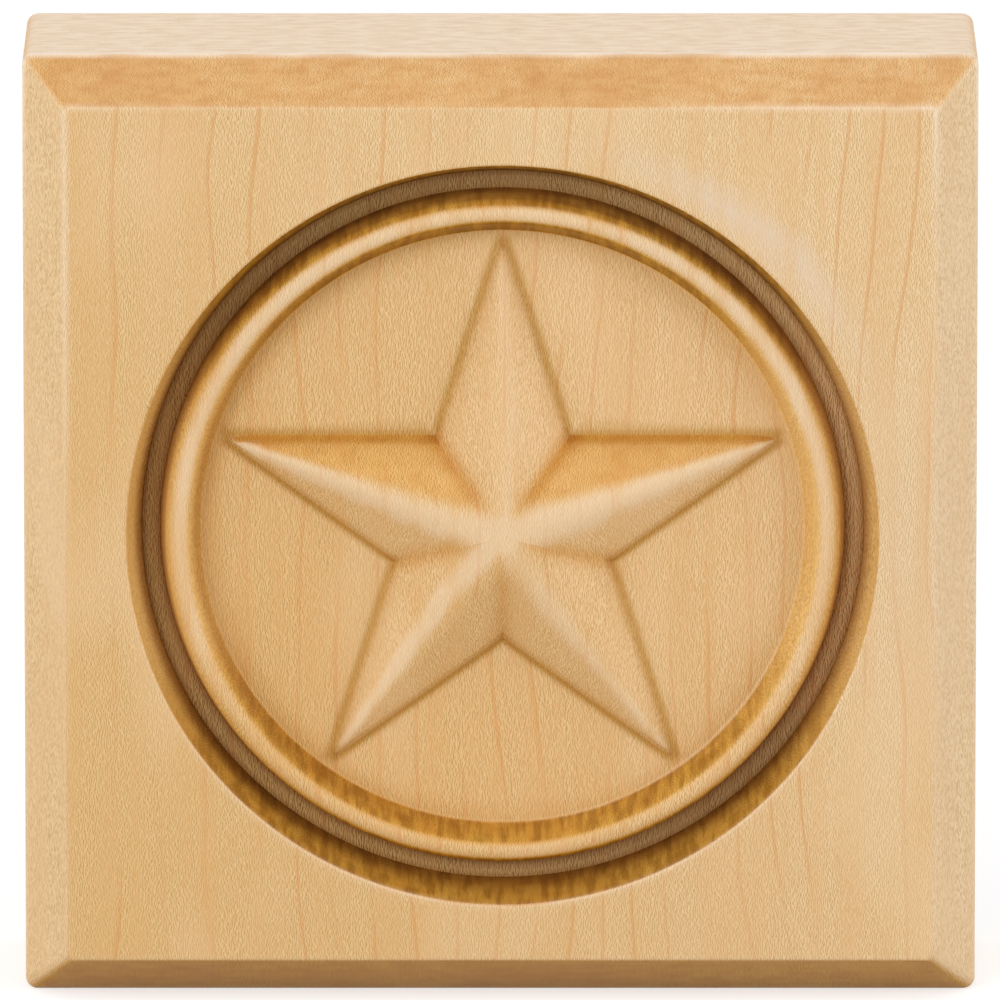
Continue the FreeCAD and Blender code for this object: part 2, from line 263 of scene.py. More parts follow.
# Marks that show only where two others meet, made in this order
JOINED_MARKS = (
    ("line", "line_start", "line_end"),
    ("line", "line", "line_fade"),
    ("line", "line", "level"),
    ("grain", "grain", "patchiness"),
    ("turned_side", "turned", "steep"),
    ("groove_side_shade_on_flank", "groove_side_shade", "turned_side"),
    ("carved_end", "carved", "end_grain"),
    ("turned_end", "turned_side", "end_grain"),
    ("blotched_end", "turned_end", "blotch"),
    ("groove_side_shade_on_end", "groove_side_shade", "end_grain"),
    ("end_face_band", "end_face_sheen", "band"),
    ("planed_end", "end_grain", "not_end_face"),
    ("clouded_end", "planed_end", "cloud"),
    ("banded_end", "planed_end", "band"),
    ("arris_highlight", "arris_highlight", "arris_patch"),
    ("rub_and_sheen", "rub_and_sheen", "patchiness"),
    ("scuff_and_sheen", "scuff_and_sheen", "patchiness"),
    ("floor_tick", "groove_floor", "grain"),
)

# Colour of the wood, and what each mark does to it, laid on in this order: mark, strength, colour, way
MAPLE = "#efd3aa"
TINTS = (
    # Darker towards the lower left
    ("tone", 1.0, "#f5ecd6", "MULTIPLY"),
    ("streak", 0.3, "#dcac70", "MIX"),
    # Painted lit and shaded sides of the fibres
    ("grain", 1.0, "#dccfb6", "MULTIPLY"),
    ("fleck", 0.2, "#cf9850", "MIX"),
    ("line", 0.5, "#d49454", "MIX"),
    ("cloud", 0.25, "#efd2ac", "MIX"),
    # Painted sheen on the top and bottom faces
    ("end_face_sheen", 0.9, "#ffe7c9", "MIX"),
    # Painted light on the side bevels
    ("lit_side_bevel", 0.18, "#fbe4c6", "MIX"),
    ("end_face_band", 0.65, "#e6c298", "MIX"),
    ("carved", 1.0, "#fffaf2", "MULTIPLY"),
    ("planed_end", 1.0, "#fff0dc", "MULTIPLY"),
    ("banded_end", 0.5, "#e9d2ac", "MULTIPLY"),
    ("clouded_end", 0.6, "#ecd9b8", "MULTIPLY"),
    # Painted shade on faces that look down
    ("underside_shade", 1.0, "#efe890", "MULTIPLY"),
    ("carved_end", 1.0, "#ffffe7", "MULTIPLY"),
    # Painted shade on the steep turned flanks
    ("turned_side", 1.0, "#fff8d4", "MULTIPLY"),
    ("turned_end", 0.6, "#e0e2b4", "MULTIPLY"),
    ("blotched_end", 0.6, "#b49c66", "MULTIPLY"),
    # Painted shade towards the groove's floor, on the turned flanks and on end grain
    ("groove_side_shade_on_flank", 0.3, "#bc9660", "MULTIPLY"),
    ("groove_side_shade_on_end", 0.55, "#b08c58", "MULTIPLY"),
    # Painted shade on the groove's floor
    ("groove_floor_shade", 1.0, "#ded8bf", "MULTIPLY"),
    ("floor_tick", 0.7, "#c8b490", "MULTIPLY"),
    # Painted shade on the field along the bead's foot
    ("field_foot_shade", 0.5, "#ecdcae", "MULTIPLY"),
    # Painted shade in the groove's creases and on the bead's inner flank
    ("crease_shade", 0.9, "#b8924c", "MULTIPLY"),
    # Painted shade round the star's foot
    ("star_foot_shade", 1.0, "#dccb9a", "MULTIPLY"),
    # Painted shade in the star's valleys
    ("valley_shade", 0.8, "#e4c274", "MULTIPLY"),
    # Painted highlight on the bead's crest, and pale bands on the ridges, partly sanded paler and partly
    # painted sheen
    ("rub_and_sheen", 0.5, "#f0d8ba", "MIX"),
    # A pale patch of wear and painted sheen
    ("scuff_and_sheen", 0.85, "#e3cfba", "MIX"),
    # Painted highlights along the edges
    ("arris_highlight", 0.85, "#fff3e2", "MIX"),
)
SPECULAR_LEVEL = 0.2
ROUGHNESS = (0.36, 0.48)
GRAIN_BUMP = 0.3
GRAIN_DEPTH = 0.02

# The floor, with its half width in metres, and the light. What the camera sees is whiter than what lights
# the block. A lamp has a name, a place and a size in metres, and a power in watts.
FLOOR_HALF = 3.0
FLOOR_CARD = "#cbc2b2"
FLOOR_CARD_SEEN = "#c4c4c4"
FLOOR_GLOW_SEEN = 0.6
WHITE = "#ffffff"
WORLD_LIGHT = 0.65
WORLD_LIGHT_SEEN = 1.0
LAMPS = (
    ("softbox", (-0.55, -1.05, 0.5), 0.7, 4.5),
    ("left_card", (-1.0, -0.5, 0.3), 0.8, 2.5),
    ("right_card", (1.0, -0.5, 0.3), 0.8, 4.3),
)

# The photograph's view
VIEW_ELEVATION = math.radians(11.14)
VIEW_DISTANCE = 2000 * MM
VIEW_AIM = Vector((-0.03, -THICKNESS / 2, 0.54)) * MM
PIXELS_PER_MM = 10.673
IMAGE_SIDE = 1000
SENSOR_WIDTH = 36
FAR_CLIP = 20


def turn_angles():
    """Angles of the spokes that the surface is divided by, closer together at the block's corners."""
    spokes = [np.arange(0, 2 * math.pi - SECTOR / 2, SECTOR)]
    for corner in np.radians((45, 135, 225, 315)):
        last = corner + CORNER_REACH + CORNER_SECTOR / 2
        spokes.append(np.arange(corner - CORNER_REACH, last, CORNER_SECTOR))
    return np.unique(np.round(np.concatenate(spokes), 7))


def rounded_path(corners, step):
    """Points along a path whose corners, given as (a, b, radius), are rounded."""
    points = [np.array(corners[0][:2], float)]
    for before, corner, after in zip(corners, corners[1:], corners[2:]):
        here = np.array(corner[:2], float)
        back = np.array(before[:2], float) - here
        ahead = np.array(after[:2], float) - here
        back /= np.linalg.norm(back)
        ahead /= np.linalg.norm(ahead)
        half = math.acos(float(np.clip(back @ ahead, -1, 1))) / 2
        reach = corner[2] / math.tan(half)
        middle = here + (back + ahead) / np.linalg.norm(back + ahead) * corner[2] / math.sin(half)
        sweep = math.pi - 2 * half
        count = max(ROUND_STEPS, math.ceil(sweep * corner[2] / step), math.ceil(sweep / ROUND_SECTOR))
        first = here + back * reach - middle
        last = here + ahead * reach - middle
        for place in range(count + 1):
            share = place / count
            across = math.sin((1 - share) * sweep) * first + math.sin(share * sweep) * last
            points.append(middle + across / math.sin(sweep))
    points.append(np.array(corners[-1][:2], float))
    return points


def divided(points, longest):
    """The same path with its long straight runs divided."""
    path = [points[0]]
    for start, end in zip(points, points[1:]):
        count = max(1, math.ceil(np.linalg.norm(end - start) / longest))
        path += [start + (end - start) * place / count for place in range(1, count + 1)]
    return path


def recess_section():
    """Radius and depth along the turned recess, from the field to the face."""

    def touch(foot, side):
        away = (foot[0] - BEAD_MIDDLE[0], foot[1] - BEAD_MIDDLE[1])
        return math.atan2(away[1], away[0]) + side * math.acos(BEAD_RADIUS / math.hypot(*away))

    inner = touch((FIELD_RADIUS, FIELD_DEPTH), 1)
    outer = touch((BEAD_FOOT, GROOVE_DEPTH), -1) + 2 * math.pi
    rise = BEAD_RADIUS / math.cos((outer - inner) / 2)
    bead_top = (
        BEAD_MIDDLE[0] + rise * math.cos((inner + outer) / 2),
        BEAD_MIDDLE[1] + rise * math.sin((inner + outer) / 2),
    )
    corners = (
        (FIELD_RADIUS - FIELD_MARGIN, FIELD_DEPTH),
        (FIELD_RADIUS, FIELD_DEPTH, FIELD_COVE),
        (*bead_top, BEAD_RADIUS),
        (BEAD_FOOT, GROOVE_DEPTH, GROOVE_CORNER),
        (WALL_FOOT, GROOVE_DEPTH, GROOVE_CORNER),
        (LIP, 0, LIP_ROUND),
        (LIP + LIP_MARGIN, 0),
    )
    return divided(rounded_path(corners, RECESS_STEP), CARVED_RUN)


def edge_section():
    """Inset from the side and depth along the edge, from the face over the bevel to the back."""
    front = (
        (BEVEL_WIDTH + FACE_MARGIN, 0),
        (BEVEL_WIDTH, 0, FACE_ARRIS_RADIUS),
        (0, BEVEL_DEPTH, SIDE_ARRIS_RADIUS),
        (0, BEVEL_DEPTH + SIDE_MARGIN),
    )
    back = (
        front[-1],
        (0, THICKNESS - BACK_CHAMFER, BACK_ARRIS_RADIUS),
        (BACK_CHAMFER, THICKNESS, BACK_ARRIS_RADIUS),
        (BACK_MARGIN, THICKNESS),
    )
    front_path = divided(rounded_path(front, EDGE_STEP), CARVED_RUN)
    return front_path + divided(rounded_path(back, EDGE_STEP), SIDE_RUN)[1:]


def square_outline(angles, inset):
    """X and Z round the block at that inset, with its corners rounded."""
    half = HALF_SIDE - inset
    radius = CORNER_RADIUS + (BEVEL_CORNER_RADIUS - CORNER_RADIUS) * min(inset / BEVEL_WIDTH, 1)
    across, up = np.sin(angles), np.cos(angles)
    reach = half / np.maximum(np.abs(across), np.abs(up))
    x, z = across * reach, up * reach
    small = np.minimum(np.abs(x), np.abs(z))
    share = np.clip((small - (half - radius)) / radius, 0, 1) * math.radians(45)
    large_side = half - radius + radius * np.cos(share)
    small_side = np.where(share > 0, half - radius + radius * np.sin(share), small)
    upright = np.abs(x) >= np.abs(z)
    return (
        np.sign(x) * np.where(upright, large_side, small_side),
        np.sign(z) * np.where(upright, small_side, large_side),
    )


def arm_swing(angles):
    """Turn from the line of the nearest arm, to either side."""
    return (angles + ARM_TURN / 2) % ARM_TURN - ARM_TURN / 2


def star_side():
    """The outward direction of an arm's side and a point of that side, as along and across the arm."""
    notch = STAR_NOTCH * np.array((math.cos(ARM_TURN / 2), math.sin(ARM_TURN / 2)))
    tip = np.array((STAR_TIP, STAR_HALF_TIP))
    along = (tip - notch) / np.linalg.norm(tip - notch)
    return np.array((-along[1], along[0])), tip


def star_outline(turn, out):
    """Distance from the middle to the star's outline, moved out so far, for turns from an arm's line."""
    outward, tip = star_side()
    to_side = (outward @ tip + out) / (outward[0] * np.cos(turn) + outward[1] * np.sin(turn))
    to_end = (STAR_TIP + STAR_TIP_OUT * out) / np.cos(turn)
    return np.minimum(to_side, to_end)


def star_foot_share(along):
    """How much of the star's foot is left at that place along an arm: it thins out to the tip."""
    return 1 - (1 - STAR_TIP_SHARE) * np.exp(-(((STAR_TIP - along) / STAR_TIP_TAPER) ** 2))


def star_height(radius, turn):
    """Height of the star over its foot at that distance from the middle and turn from an arm's line."""
    outward = star_side()[0]
    spread = outward[0] / outward[1]
    half_middle = STAR_HALF_TIP + STAR_TIP * spread
    rise = STAR_RISE - STAR_FOOT_HEIGHT
    centre = rise - STAR_RIDGE_RADIUS
    slope = math.atan2(centre, half_middle) + math.asin(STAR_RIDGE_RADIUS / math.hypot(centre, half_middle))
    along, aside = radius * np.cos(turn), radius * np.sin(turn)
    scale = np.maximum(STAR_HALF_TIP + (STAR_TIP - along) * spread, THINNEST_ARM) / half_middle
    place = np.clip(aside / scale, 0, half_middle)
    crown = centre + np.sqrt(np.maximum(STAR_RIDGE_RADIUS**2 - place**2, 0))
    flank = (half_middle - place) * math.tan(slope)
    height = np.where(place < STAR_RIDGE_RADIUS * math.sin(slope), crown, flank) * scale

    # Valleys between the arms are filled a little, and less where they run out to the notches
    half_arm = ARM_TURN / 2
    from_valley = radius * np.sin(half_arm - turn)
    steep = math.tan(slope) * (math.cos(half_arm) - spread * math.sin(half_arm))
    to_outline = np.clip(radius / star_outline(turn, 0), 0, 1)
    soft = np.minimum(STAR_VALLEY_ROUND, radius * STAR_VALLEY_SHARE) * (1 - to_outline**6)
    height = height + steep * (np.sqrt(from_valley**2 + soft**2) - from_valley)

    dome = rise - STAR_DOME_DROP - STAR_DOME_CURVE * radius**2
    inside = 1 / (1 + (radius / STAR_DOME_RADIUS) ** 4)
    return height + (dome - height) * inside


def block_rings(angles):
    """Rings of points over the whole surface, from the star's middle over the front to the back."""
    turn = np.abs(arm_swing(angles))
    across, up = np.sin(angles), np.cos(angles)

    def ring(radius, depth):
        depth = np.broadcast_to(depth, angles.shape)
        return np.column_stack(
            (RECESS_SHIFT[0] + across * radius, depth - THICKNESS, RECESS_SHIFT[1] + up * radius)
        )

    # The last ring of the star is left to its foot, which follows
    rings = []
    outline = star_outline(turn, 0)
    for step in range(1, STAR_RINGS):
        radius = outline * (step / STAR_RINGS) ** STAR_RING_CROWDING
        foot_height = STAR_FOOT_HEIGHT * star_foot_share(radius * np.cos(turn))
        rings.append(ring(radius, FIELD_DEPTH - foot_height - star_height(radius, turn)))

    foot = rounded_path(
        (
            (STAR_FOOT_START[0], STAR_FOOT_HEIGHT + STAR_FOOT_START[1]),
            (STAR_FOOT_EDGE[0], STAR_FOOT_HEIGHT + STAR_FOOT_EDGE[1], STAR_FOOT_CROWN),
            (STAR_FOOT_FLARE, 0, STAR_FOOT_COVE),
            (STAR_FOOT_FLARE + STAR_FOOT_END, 0),
        ),
        FOOT_STEP,
    )
    thinned = star_foot_share(outline * np.cos(turn))
    for out, height in foot[1:]:
        rings.append(ring(star_outline(turn, out * thinned), FIELD_DEPTH - height * thinned))

    section = recess_section()
    inside = star_outline(turn, foot[-1][0] * thinned)
    outside = section[0][0]
    for step in range(1, FIELD_RINGS):
        rings.append(ring(inside + (outside - inside) * step / FIELD_RINGS, FIELD_DEPTH))
    for radius, depth in section:
        rings.append(ring(radius, depth))

    edge = edge_section()
    lip = rings[-1]
    x, z = square_outline(angles, edge[0][0])
    arris_highlight = np.column_stack((x, lip[:, 1], z))
    rings += [lip + (arris_highlight - lip) * step / FACE_RINGS for step in range(1, FACE_RINGS)]
    for inset, depth in edge:
        x, z = square_outline(angles, inset)
        rings.append(np.column_stack((x, np.full(angles.shape, depth - THICKNESS), z)))
    back = rings[-1]
    rings += [back * (share, 1, share) for share in BACK_RINGS]
    return rings


def ramp(values, start, end):
    """0 up to the start, 1 from the end on, and even growth between."""
    return np.clip((values - start) / (end - start), 0, 1)


def bell(away, reach):
    """1 at no distance, fading out over that reach."""
    return np.exp(-((away / reach) ** 2))


def near(a, b, at, strength, reach):
    """How much of a mark there is round one place of a section."""
    return strength * bell(np.hypot(a - at[0], b - at[1]), reach)


def bead_sheen(x, z, radius, depth):
    """The bead's crest with a painted highlight: more at the sides than at the top, and least at the bottom.
    """
    crest = BEAD_MIDDLE[0] - BEAD_SHEEN_INWARD * ramp(-x, 0, BEAD_MIDDLE[0])
    shine = near(radius, depth, (crest, BEAD_MIDDLE[1] - BEAD_RADIUS), *BEAD_SHEEN)
    shine *= BEAD_SHEEN_MIDDLE + (1 - BEAD_SHEEN_MIDDLE) * np.abs(x) / BEAD_MIDDLE[0]
    return shine * np.clip(BEAD_SHEEN_LEVEL + BEAD_SHEEN_GAIN_UP * z / BEAD_MIDDLE[0], BEAD_SHEEN_LEAST, 1)


def star_marks(radius, angle, carved):
    """Painted shade round the star's foot and in its valleys, and pale bands along its ridges, partly sanded
    paler and partly painted sheen.
    """
    swing = arm_swing(angle)
    turn = np.abs(swing)
    along = radius * np.cos(turn)
    arm = np.floor(angle / ARM_TURN + 0.5).astype(int) % STAR_POINTS
    outward, tip = star_side()
    past_side = (along - tip[0]) * outward[0] + (radius * np.sin(turn) - tip[1]) * outward[1]
    past_star = np.maximum(past_side, along - STAR_TIP) - STAR_FOOT_FLARE
    on_star = carved & (past_star < 0)

    # The line round the star's foot is painted shade, broader on the sides that look up
    arm_angle = arm * ARM_TURN
    looks_up = outward[0] * np.cos(arm_angle) - np.sign(swing) * outward[1] * np.sin(arm_angle)
    width = OUTLINE_WIDTH + OUTLINE_WIDER * np.clip(looks_up, 0, 1)
    line = np.where(carved & (radius < OUTLINE_END), bell(past_star, width), 0)
    line += np.where(on_star, OUTLINE_BLUR * bell(past_star, OUTLINE_BLUR_WIDTH * width), 0)

    # Painted shade in the valleys between the arms
    valley_number = np.floor(angle / ARM_TURN).astype(int) % STAR_POINTS
    valley_shade = np.array(VALLEY_SHADE)[valley_number]
    valley_shade = valley_shade * bell(radius * np.sin(ARM_TURN / 2 - turn), VALLEY_WIDTH)
    valley_shade = np.where(on_star, valley_shade * ramp(radius, *VALLEY_RAMP), 0)

    # The pale band narrows to the tips and leans off each ridge
    narrowing = 1 - ramp(radius, 0, STAR_TIP)
    lean = np.array(RIDGE_LEAN)[arm] * narrowing * ramp(radius, 0, RIDGE_LEAN_START)
    breadth = RIDGE_BREADTH_LEAST + np.array(RIDGE_BREADTH)[arm] * narrowing
    shine = np.array(RIDGE_SHEEN)[arm] * bell(radius * np.sin(swing) - lean, breadth)
    # A painted highlight on the star's middle
    shine = np.maximum(shine, bell(radius, MIDDLE_SHEEN_REACH))
    shine *= ramp(STAR_TIP - along, *RIDGE_SHEEN_RAMP)
    return line, valley_shade, np.where(carved & (past_star < -RIDGE_SHEEN_EDGE), shine, 0)


def arris_highlights(x, z, radius, depth, inset):
    """Painted highlights along the block's edges: round the face, along the lip, at the field's foot and
    round the sides.
    """
    upper = ramp(z, 0, HALF_SIDE) ** 4
    left = ramp(-x, 0, HALF_SIDE) ** 4
    right = ramp(x, 0, HALF_SIDE) ** 4
    share = ARRIS_HIGHLIGHT + ARRIS_HIGHLIGHT_TOP * upper * ramp(x, *ARRIS_HIGHLIGHT_TOP_RAMP)
    share += ARRIS_HIGHLIGHT_LEFT * left * ramp(z, *ARRIS_HIGHLIGHT_LEFT_RAMP)
    share += ARRIS_HIGHLIGHT_RIGHT * right * ramp(z, *ARRIS_HIGHLIGHT_RIGHT_RAMP)
    shine = near(inset, depth, (BEVEL_WIDTH, 0), share, ARRIS_HIGHLIGHT_REACH)
    shine += near(radius, depth, (LIP, 0), *LIP_HIGHLIGHT) * ramp(-z, 0, LIP)
    lower_right = ramp(x - z, 0, FIELD_FOOT_DIAGONAL) ** 2
    shine += near(radius, depth, (FIELD_RADIUS, FIELD_DEPTH), *FIELD_FOOT_HIGHLIGHT) * lower_right
    share = SIDE_ARRIS_HIGHLIGHT + SIDE_ARRIS_HIGHLIGHT_UP * upper
    return shine + near(inset, depth, (0, BEVEL_DEPTH), share, SIDE_ARRIS_HIGHLIGHT_REACH)


def surface_marks(points):
    """How much of each kind of work and wear there is at every point, from 0 to 1."""
    x, depth, z = points[:, 0], points[:, 1] + THICKNESS, points[:, 2]
    radius = np.hypot(x - RECESS_SHIFT[0], z - RECESS_SHIFT[1])
    angle = np.arctan2(x - RECESS_SHIFT[0], z - RECESS_SHIFT[1])
    inset = HALF_SIDE - np.maximum(np.abs(x), np.abs(z))
    front = depth < BEVEL_DEPTH + FRONT_SLACK
    carved = front & (radius < LIP)
    upper = ramp(z, 0, BEAD_FOOT)

    # The groove's floor gets painted shade, lighter at the right and at the bottom
    floor = carved & (depth > GROOVE_DEPTH - FLOOR_SLACK)
    paler = PALER_FLOOR_RIGHT * ramp(x, 0, BEAD_FOOT) ** 2
    paler += PALER_FLOOR_BOTTOM * ramp(-z, 0, BEAD_FOOT) ** 2

    # Painted shade lies in the creases at the feet of the bead and the wall, and on the bead's inner flank,
    # deeper at the left
    flank_shade = FLANK_SHADE + FLANK_SHADE_LEFT * ramp(-x, 0, FIELD_RADIUS)
    crease_shade = near(radius, depth, (BEAD_FOOT, GROOVE_DEPTH), *BEAD_CREASE_SHADE) * (1 - BEAD_CREASE_SHADE_LOSS_UP * upper)
    crease_shade += near(radius, depth, (WALL_FOOT, GROOVE_DEPTH), *WALL_CREASE_SHADE)
    crease_shade += near(radius, depth, FLANK_SHADE_PLACE, flank_shade, FLANK_SHADE_REACH)
    # The field gets painted shade along the bead's foot, deeper at the left
    field_foot_shade = bell(np.minimum(radius - FIELD_RADIUS, 0), FIELD_EDGE_REACH) * (FIELD_EDGE_SHARE + flank_shade)

    # The groove's two sides get painted shade towards its floor as well, less at the top
    groove_side_shade = near(radius, depth, (BEAD_FOOT, GROOVE_DEPTH), *BEAD_SIDE_SHADE)
    groove_side_shade += near(radius, depth, (WALL_FOOT, GROOVE_DEPTH), *WALL_SIDE_SHADE)
    star_foot_shade, valley_shade, ridge_sheen = star_marks(radius, angle, carved)

    # A pale patch, partly a worn scuff and partly painted sheen, and a haze of painted sheen at the right
    scuff_and_sheen = bell(radius - SCUFF_RADIUS, SCUFF_WIDTH) * bell(angle - SCUFF_TURN, SCUFF_REACH)
    scuff_and_sheen += HAZE_SHARE * bell(x - HAZE_PLACE, HAZE_WIDTH) * bell(z, HAZE_HEIGHT)
    # The side bevels are painted paler, as painted light
    lit_side_bevel = front & (inset < BEVEL_WIDTH) & (np.abs(x) > np.abs(z))
    marks = {
        "carved": carved,
        "turned": np.where(carved, ramp(radius, *TURNED_RAMP), 0),
        "groove_floor": floor,
        "groove_floor_shade": np.where(floor, 1 - paler, 0),
        # The top and bottom faces are painted pale, a painted sheen, and their end grain is not darkened
        "end_face_sheen": np.where(depth > BEVEL_DEPTH, ramp(np.abs(z), HALF_SIDE - END_FACE_EDGE, HALF_SIDE), 0),
        "crease_shade": crease_shade,
        "star_foot_shade": star_foot_shade,
        "groove_side_shade": np.where(floor, 0, groove_side_shade * (1 - SIDE_SHADE_LOSS_UP * upper)),
        "arris_highlight": arris_highlights(x, z, radius, depth, inset),
        "rub_and_sheen": bead_sheen(x, z, radius, depth) + ridge_sheen,
        "valley_shade": valley_shade,
        "lit_side_bevel": lit_side_bevel,
        "field_foot_shade": np.where(carved & (radius < FIELD_EDGE_END), field_foot_shade, 0),
        "scuff_and_sheen": np.where(front & (radius > LIP), scuff_and_sheen, 0),
    }
    return {name: np.clip(amount.astype(float), 0, 1) for name, amount in marks.items()}


def face_weighted_normals(points, faces):
    """Shading directions that keep a large flat face flat right up to a narrow rounded edge."""
    normals = np.zeros(points.shape)
    for size in (3, 4):
        corners = np.array([face for face in faces if len(face) == size])
        across = points[corners[:, 2]] - points[corners[:, 0]]
        other = points[corners[:, -1]] - points[corners[:, 1]]
        for place in range(size):
            np.add.at(normals, corners[:, place], np.cross(across, other))
    return normals / np.linalg.norm(normals, axis=1, keepdims=True)


def make_block():
    """The whole block as one closed mesh."""
    angles = turn_angles()
    rings = block_rings(angles)
    count = len(angles)
    peak = FIELD_DEPTH - STAR_FOOT_HEIGHT - star_height(0.0, 0.0)
    top = np.array(((RECESS_SHIFT[0], peak - THICKNESS, RECESS_SHIFT[1]),))
    back = np.array(((0, 0, 0),))
    points = np.concatenate([top, *rings, back]) * MM
    here = np.arange(count)
    following = np.roll(here, -1)
    faces = [(0, 1 + b, 1 + a) for a, b in zip(here.tolist(), following.tolist())]
    for level in range(len(rings) - 1):
        first = 1 + level * count
        second = first + count
        quads = np.column_stack((first + here, first + following, second + following, second + here))
        faces += quads.tolist()
    last = 1 + (len(rings) - 1) * count
    end = len(points) - 1
    faces += [(last + a, last + b, end) for a, b in zip(here.tolist(), following.tolist())]
    mesh = bpy.data.meshes.new("maple_block")
    mesh.from_pydata(points.tolist(), [], faces)
    mesh.validate()
    mesh.polygons.foreach_set("use_smooth", np.ones(len(mesh.polygons), bool))
    mesh.normals_split_custom_set_from_vertices(face_weighted_normals(points, faces))
    for name, amount in surface_marks(points / MM).items():
        mesh.attributes.new(name, "FLOAT", "POINT").data.foreach_set("value", amount)
    block = bpy.data.objects.new("maple_block", mesh)
    bpy.context.scene.collection.objects.link(block)
    return block


def linear(hex_colour):
    """An sRGB hex colour as linear red, green, blue and alpha."""
    channels = [int(hex_colour[place:place + 2], 16) / 255 for place in (1, 3, 5)]
    return [c / 12.92 if c <= 0.04045 else ((c + 0.055) / 1.055) ** 2.4 for c in channels] + [1.0]


def add(tree, kind, inputs, **settings):
    """Adds one node with its settings, and gives each input a value or links it to another node."""
    made = tree.nodes.new(kind)
    for name, setting in settings.items():
        setattr(made, name, setting)
    for place, source in inputs.items():
        if isinstance(source, bpy.types.Node):
            source = next(socket for socket in source.outputs if socket.enabled)
        if isinstance(source, bpy.types.NodeSocket):
            tree.links.new(source, made.inputs[place])
        else:
            made.inputs[place].default_value = source
    return made


def growth_rings(tree, point, wander):
    """How far through its growth ring each point lies, from 0 to 1.

    The rings lie round a pith in front of the face, wander, and bow sideways along the block.
    """
    across = add(tree, "ShaderNodeSeparateXYZ", {0: point}).outputs
    bow = add(tree, "ShaderNodeMath", {0: across["Z"], 1: across["Z"]}, operation="MULTIPLY")
    bow_share = -RING_BOW / HALF_SIDE**2
    bowed = add(tree, "ShaderNodeMath", {0: bow, 1: bow_share, 2: across["X"]}, operation="MULTIPLY_ADD")
    section = add(tree, "ShaderNodeCombineXYZ", {"X": bowed, "Y": across["Y"], "Z": 0.0})
    distance = add(tree, "ShaderNodeVectorMath", {0: section, 1: PITH}, operation="DISTANCE")
    from_pith = distance.outputs["Value"]
    ring = add(tree, "ShaderNodeMath", {0: wander, 1: RING_WANDER, 2: from_pith}, operation="MULTIPLY_ADD")
    ring = add(tree, "ShaderNodeMath", {0: ring, 1: RING_WIDTH}, operation="DIVIDE")
    return add(tree, "ShaderNodeMath", {0: ring}, operation="FRACT")


def maple_marks(tree):
    """Every mark of the wood and of the work on it, by name, as nodes that give 0 to 1."""
    place = add(tree, "ShaderNodeTexCoord", {})
    metres = place.outputs["Object"]
    point = add(tree, "ShaderNodeVectorMath", {0: metres, "Scale": 1 / MM}, operation="SCALE")
    sources = {}
    for name, size, shift, detail in NOISES:
        scale = [1 / length for length in size]
        moved = (shift * scale[0], 0, 0)
        spot = add(tree, "ShaderNodeVectorMath", {0: point, 1: scale, 2: moved}, operation="MULTIPLY_ADD")
        sources[name] = add(tree, "ShaderNodeTexNoise", {"Vector": spot, "Scale": 1.0, "Detail": detail})
    sources["ring"] = growth_rings(tree, point, sources["wander"])

    # Each fibre gets a painted lit side and a painted shaded side, so the grain is a noise less itself moved
    # over
    fibres = {0: sources["fibre"], 1: sources["fibre_beside"]}
    sources["relief"] = add(tree, "ShaderNodeMath", fibres, operation="SUBTRACT")

    # How far a face is cut across the fibres, which lean a little out of the front, and how it faces
    for name, vector, along in (
        ("cut", place.outputs["Normal"], FIBRE),
        ("facing", place.outputs["Normal"], (0, -1, 0)),
        ("to_pale_side", point, PALE_SIDE),
    ):
        dot = add(tree, "ShaderNodeVectorMath", {0: vector, 1: along}, operation="DOT_PRODUCT")
        sources[name] = dot.outputs["Value"]
    sources["across_cut"] = add(tree, "ShaderNodeMath", {0: sources["cut"]}, operation="ABSOLUTE")

    marks = {}
    for name in WORKED:
        marks[name] = add(tree, "ShaderNodeAttribute", {}, attribute_name=name).outputs["Fac"]

    for name, source, low, high in SMOOTH_MARKS:
        limits = {"Value": sources[source], "From Min": low, "From Max": high}
        marks[name] = add(tree, "ShaderNodeMapRange", limits, interpolation_type="SMOOTHSTEP")

    # The turned part begins raggedly, where the cutter tore a fibre here and left the next one
    torn = {0: marks["fleck"], 1: RAGGED_SHARE, 2: marks["turned"]}
    ragged = add(tree, "ShaderNodeMath", torn, operation="MULTIPLY_ADD")
    limits = {"Value": ragged, "From Min": RAGGED_RAMP[0], "From Max": RAGGED_RAMP[1]}
    marks["turned"] = add(tree, "ShaderNodeMapRange", limits, interpolation_type="SMOOTHSTEP")

    # End grain off the top and bottom faces, which carry painted sheen, was planed or carved, and the
    # painted highlights and sheen, the worn patch and the grain are patchy
    marks["not_end_face"] = add(tree, "ShaderNodeMath", {0: 1.0, 1: marks["end_face_sheen"]}, operation="SUBTRACT")
    for name, source, least in (
        ("patchiness", "streak", PATCHINESS_LEAST),
        ("arris_patch", "cloud", ARRIS_PATCH_LEAST),
    ):
        limits = {"Value": marks[source], "To Min": 1.0, "To Max": least}
        marks[name] = add(tree, "ShaderNodeMapRange", limits)
    for name, first, second in JOINED_MARKS:
        marks[name] = add(tree, "ShaderNodeMath", {0: marks[first], 1: marks[second]}, operation="MULTIPLY")

    # The pale bands of sanding and painted sheen end fairly sharply
    limits = {"Value": marks["rub_and_sheen"], "From Min": SHEEN_RAMP[0], "From Max": SHEEN_RAMP[1]}
    marks["rub_and_sheen"] = add(tree, "ShaderNodeMapRange", limits, interpolation_type="SMOOTHSTEP")
    return marks


